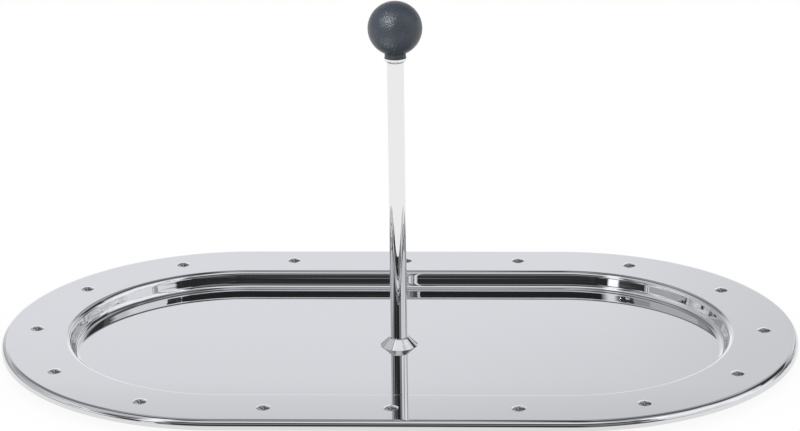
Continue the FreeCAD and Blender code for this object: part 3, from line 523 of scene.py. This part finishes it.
sheetSteel = mirrorSteel("stainless sheet, mirror polished", "#dadadb", drawDepth=0.035)
# the rod's steel is a paler copy of the sheet's: painted light for the brighter room that the rod
# reflects
paintedBrightRodSteel = mirrorSteel("stainless rod, mirror polished", "#ebeaea", drawDepth=0.002)
knobPlastic, fastenerSteel = mouldedKnob(), plainSteel()
for piece, steel in ((trayPiece, sheetSteel), (postPiece, paintedBrightRodSteel), (ferrulePiece, paintedBrightRodSteel)):
    piece.data.materials.append(steel)
    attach(piece, "root")
knobPiece.data.materials.append(knobPlastic)
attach(knobPiece, "root")
for name in ("fixing_screw", "spring_washer"):
    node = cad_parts[name]
    node.data.materials.clear()
    node.data.materials.append(fastenerSteel)
print("materials assigned")


# Table, surroundings and lamps

white = (1, 1, 1, 1)
studio = {
    "tableHalf": 6.0,                # metres
    "tableGap": 0.05,                # mm, so that the tray's foot and the table don't share a plane
    "tableColour": "#f4f4f4",
    "tableShade": 0.1,               # share of the table's white that a shadow can take away
    "roomTint": (0.98, 1.0, 1.04),   # cool daylight in what the steel reflects
    "skyLevel": 1.1,                 # soft light from all round on the table and the knob
    "lampPlace": (-0.51, -0.71, 1.0),
    "lampPower": 14.5,               # watts
    "lampSize": 0.13,                # metres, as all sizes and places of the lamps
    "imagePlace": (-0.085, -0.107, 0.019),   # on the line from the knob to the lamp's mirror image
    "imagePower": 0.1,
    "imageSize": 0.045,
}


def makeTable():
    # one flat square under the tray, white to the camera and in the steel, matte under shadows
    half, down = studio["tableHalf"], -studio["tableGap"] * mm
    mesh = bpy.data.meshes.new("table")
    corners = [(-half, -half, down), (half, -half, down), (half, half, down), (-half, half, down)]
    mesh.from_pydata(corners, [], [(0, 1, 2, 3)])
    table = bpy.data.objects.new("table", mesh)
    bpy.context.scene.collection.objects.link(table)
    material = bpy.data.materials.new("white table, seamless")
    material.use_nodes = True
    tree = material.node_tree
    tree.nodes.clear()
    matte = addNode(tree, "ShaderNodeBsdfDiffuse", {"Color": linear(studio["tableColour"])})
    path = addNode(tree, "ShaderNodeLightPath").outputs
    seen = addMath(tree, "ADD", path["Is Camera Ray"], path["Is Glossy Ray"])
    seen = addMath(tree, "ADD", seen, path["Is Transmission Ray"], use_clamp=True)
    glow = addNode(tree, "ShaderNodeEmission", {"Color": white, "Strength": 1.0})
    shown = addMath(tree, "MULTIPLY", seen, 1 - studio["tableShade"])
    mix = addNode(tree, "ShaderNodeMixShader", {0: shown, 1: matte.outputs[0], 2: glow.outputs[0]})
    addNode(tree, "ShaderNodeOutputMaterial", {"Surface": mix.outputs[0]})
    table.data.materials.append(material)


# Boards, flags and soft boxes round the tray, by direction in degrees: side is to the right of
# the middle plane, arc runs from the back horizon (0) through straight up (90) to the horizon
# behind the camera (180). Each is (side, arc, half width, half height, lean, level, soft edge).
# Lean is the shift to the side for each degree up the arc. A later one covers an earlier one.
roomLevel = 0.48
panels = [
    (-64.9, 106.5, 12.4, 54.4,  0.03, 1.11, 10.5),
    ( 68.3,  67.4, 18.3, 60.0,  0.03, 1.17,  8.9),
    ( 10.4,  10.1, 40.2, 13.6, -0.84, 0.94,  2.0),
    ( -9.4,  -2.0, 11.2, 19.7,  0.50, 1.14,  2.0),
    ( 49.4,  14.8, 11.6,  8.8,  0.32, 0.03,  2.0),
    ( 32.0,  20.1,  3.4, 13.8,  1.50, 0.03,  4.9),
    ( 33.3,  39.6, 15.4, 10.5,  0.79, 0.05,  2.0),
    ( -2.3,  46.5,  1.7, 20.7, -0.29, 0.03, 10.9),
    (-14.1,  76.0,  6.5, 19.3,  0.47, 0.08,  2.0),
    ( 21.3,  63.6, 18.5, 15.1, -0.27, 0.13,  2.0),
    (  7.9,  85.2,  5.1,  6.5, -0.35, 0.08,  2.1),
    (  2.0,  64.1,  2.0, 16.0,  0.11, 0.03,  2.0),
    ( -3.0,  97.8, 14.9,  3.0, -0.47, 1.76,  3.9),
    ( 21.4, 139.2, 46.3, 32.5,  0.01, 0.03,  2.0),
    (-27.0, 120.3,  4.7, 29.6, -0.31, 1.25,  4.8),
    ( 49.4, 113.5, 17.2, 40.4,  0.03, 1.19,  2.0),
    ( 53.3, 149.4,  1.2, 21.2, -0.51, 0.04,  2.0),
    ( 68.6, 150.8, 25.0, 18.7,  0.18, 0.94,  2.0),
    (-55.7, 133.2,  5.9, 20.0,  0.69, 0.03,  3.2),
    (-41.2, 160.8, 11.6, 10.4, -1.03, 0.04,  3.1),
    (-66.4,  97.2,  1.6, 31.7,  0.00, 0.03,  2.0),
    (-30.3,  62.0,  9.3, 32.2, -0.39, 0.26,  2.0),
    (-49.8,  60.9, 17.1, 40.0,  0.55, 0.71,  2.0),
    ( 38.1,  80.3,  5.9, 23.2, -0.55, 0.92,  3.2),
    ( 13.3,  28.5,  3.8, 13.0,  0.47, 0.70,  8.3),
    ( 19.4, 156.4, 10.2,  4.6, -0.70, 0.30,  2.0),
    ( -6.5, 167.9, 11.8,  3.6, -0.35, 0.03,  2.0),
    (-48.1,  39.4,  4.9, 26.6, -0.92, 0.46, 10.4),
    ( 29.3, 108.7,  5.0,  4.1, -0.05, 2.07,  2.0),
    (-20.8, 101.0,  2.9, 15.2, -0.30, 1.30,  2.0),
    ( 63.7, 118.2,  1.2, 16.1, -0.39, 0.37,  2.0),
    (  7.6, 139.4, 32.1,  8.3,  0.05, 0.28,  2.0),
    (  3.8, 162.2, 27.5,  1.2,  0.00, 0.03,  2.0),
    ( -2.5,   3.4, 20.2,  1.2,  0.01, 1.41,  2.0),
    (-43.2, 125.2,  9.6,  6.7, -0.90, 0.03,  4.1),
    ( 39.7,  12.4, 24.5,  2.4,  0.07, 0.65,  2.1),
    ( 48.7,  12.7,  1.4, 46.9,  0.35, 0.03,  2.0),
    (  0.0,  24.7, 59.8,  1.2,  0.00, 0.82,  4.0),
    (-27.6, 169.5,  5.0,  4.0,  0.00, 0.03,  1.0),
    (-35.8, 168.0,  3.6,  5.5,  0.05, 1.45,  1.6),
    (-62.0, 126.1,  1.2, 14.3, -0.11, 1.05,  4.6),
    (-64.0, 140.8,  2.9,  3.8,  0.00, 1.19,  2.0),
    (  0.0, 110.5, 23.0,  4.5,  0.00, 1.02,  3.0),
]
panelSizes = ("Place", "Height", "Width", "Rise", "Lean", "Level", "Soft")


def makePanelGroup():
    # One panel over what is behind it. With u = side - s - lean (arc - a) and v = arc - a it covers
    # clamp((w - |u|) / soft + 0.5) clamp((h - |v|) / soft + 0.5) of the direction.
    group = bpy.data.node_groups.new("panel", "ShaderNodeTree")
    for name in ("Behind", "Side", "Arc", *panelSizes):
        group.interface.new_socket(name=name, in_out="INPUT", socket_type="NodeSocketFloat")
    group.interface.new_socket(name="Shade", in_out="OUTPUT", socket_type="NodeSocketFloat")
    given = addNode(group, "NodeGroupInput").outputs
    up = addMath(group, "SUBTRACT", given["Arc"], given["Height"])
    leaned = addMath(group, "MULTIPLY", up, given["Lean"])
    across = addMath(group, "SUBTRACT", given["Side"], given["Place"])
    across = addMath(group, "SUBTRACT", across, leaned)
    cover = 1.0
    for off, half in ((across, given["Width"]), (up, given["Rise"])):
        inside = addMath(group, "SUBTRACT", half, addMath(group, "ABSOLUTE", off))
        edge = addMath(group, "DIVIDE", inside, given["Soft"])
        edge = addMath(group, "ADD", edge, 0.5, use_clamp=True)
        cover = addMath(group, "MULTIPLY", edge, cover)
    step = addMath(group, "SUBTRACT", given["Level"], given["Behind"])
    shade = addMath(group, "MULTIPLY_ADD", step, cover, given["Behind"])
    addNode(group, "NodeGroupOutput", {"Shade": shade})
    return group


def makeSurroundings():
    # The polished steel reflects the panels, and light for everything else comes evenly from all
    # round. The camera sees plain white, and below the horizon the steel does too.
    world = bpy.data.worlds.new("studio")
    bpy.context.scene.world = world
    world.use_nodes = True
    tree = world.node_tree
    tree.nodes.clear()
    place = addNode(tree, "ShaderNodeTexCoord").outputs["Generated"]
    axes = addNode(tree, "ShaderNodeSeparateXYZ", {0: place}).outputs
    arc = addMath(tree, "DEGREES", addMath(tree, "ARCTAN2", axes["Z"], axes["Y"]))
    side = addMath(tree, "DEGREES", addMath(tree, "ARCSINE", axes["X"]))
    group = makePanelGroup()
    shade = roomLevel
    for values in panels:
        given = {"Behind": shade, "Side": side, "Arc": arc, **dict(zip(panelSizes, values))}
        shade = addNode(tree, "ShaderNodeGroup", given, node_tree=group).outputs["Shade"]
    below = addMath(tree, "LESS_THAN", axes["Z"], 0.0)
    room = addNode(tree, "ShaderNodeMix", {"Factor": below, "A": shade, "B": 1.0},
                   data_type="FLOAT")
    path = addNode(tree, "ShaderNodeLightPath").outputs
    backdrop = addNode(tree, "ShaderNodeBackground", {"Color": white, "Strength": 1.0})
    soft = addNode(tree, "ShaderNodeBackground", {"Color": white, "Strength": studio["skyLevel"]})
    mirrored = addNode(tree, "ShaderNodeBackground", {"Color": (*studio["roomTint"], 1.0),
                                                      "Strength": room.outputs[0]})
    gloss = addMath(tree, "MAXIMUM", path["Is Glossy Ray"], path["Is Transmission Ray"])
    lit = addNode(tree, "ShaderNodeMixShader",
                  {0: gloss, 1: soft.outputs[0], 2: mirrored.outputs[0]})
    seen = addNode(tree, "ShaderNodeMixShader",
                   {0: path["Is Camera Ray"], 1: lit.outputs[0], 2: backdrop.outputs[0]})
    addNode(tree, "ShaderNodeOutputWorld", {"Surface": seen.outputs[0]})


def makeLamp(name, place, power, size):
    # a small softbox for the knob alone: the steel and the table get their light from all round
    data = bpy.data.lights.new(name, "AREA")
    data.shape = "SQUARE"
    data.size = size
    data.energy = power
    lamp = bpy.data.objects.new(name, data)
    lamp.location = place
    aim = Vector((0, 0, knob["centre"] * mm)) - lamp.location
    lamp.rotation_euler = aim.to_track_quat("-Z", "Y").to_euler()
    lamp.visible_camera = False
    lit = bpy.data.collections.new("lit by the " + name)
    lit.objects.link(knobPiece)
    lamp.light_linking.receiver_collection = lit
    bpy.context.scene.collection.objects.link(lamp)


makeTable()
makeSurroundings()
makeLamp("knob softbox", studio["lampPlace"], studio["lampPower"], studio["lampSize"])
# light that reaches the knob by way of the mirror isn't followed, so its image is a lamp too
makeLamp("softbox image in the tray", studio["imagePlace"], studio["imagePower"],
         studio["imageSize"])
bpy.context.scene.view_settings.view_transform = "Standard"
print("studio set")
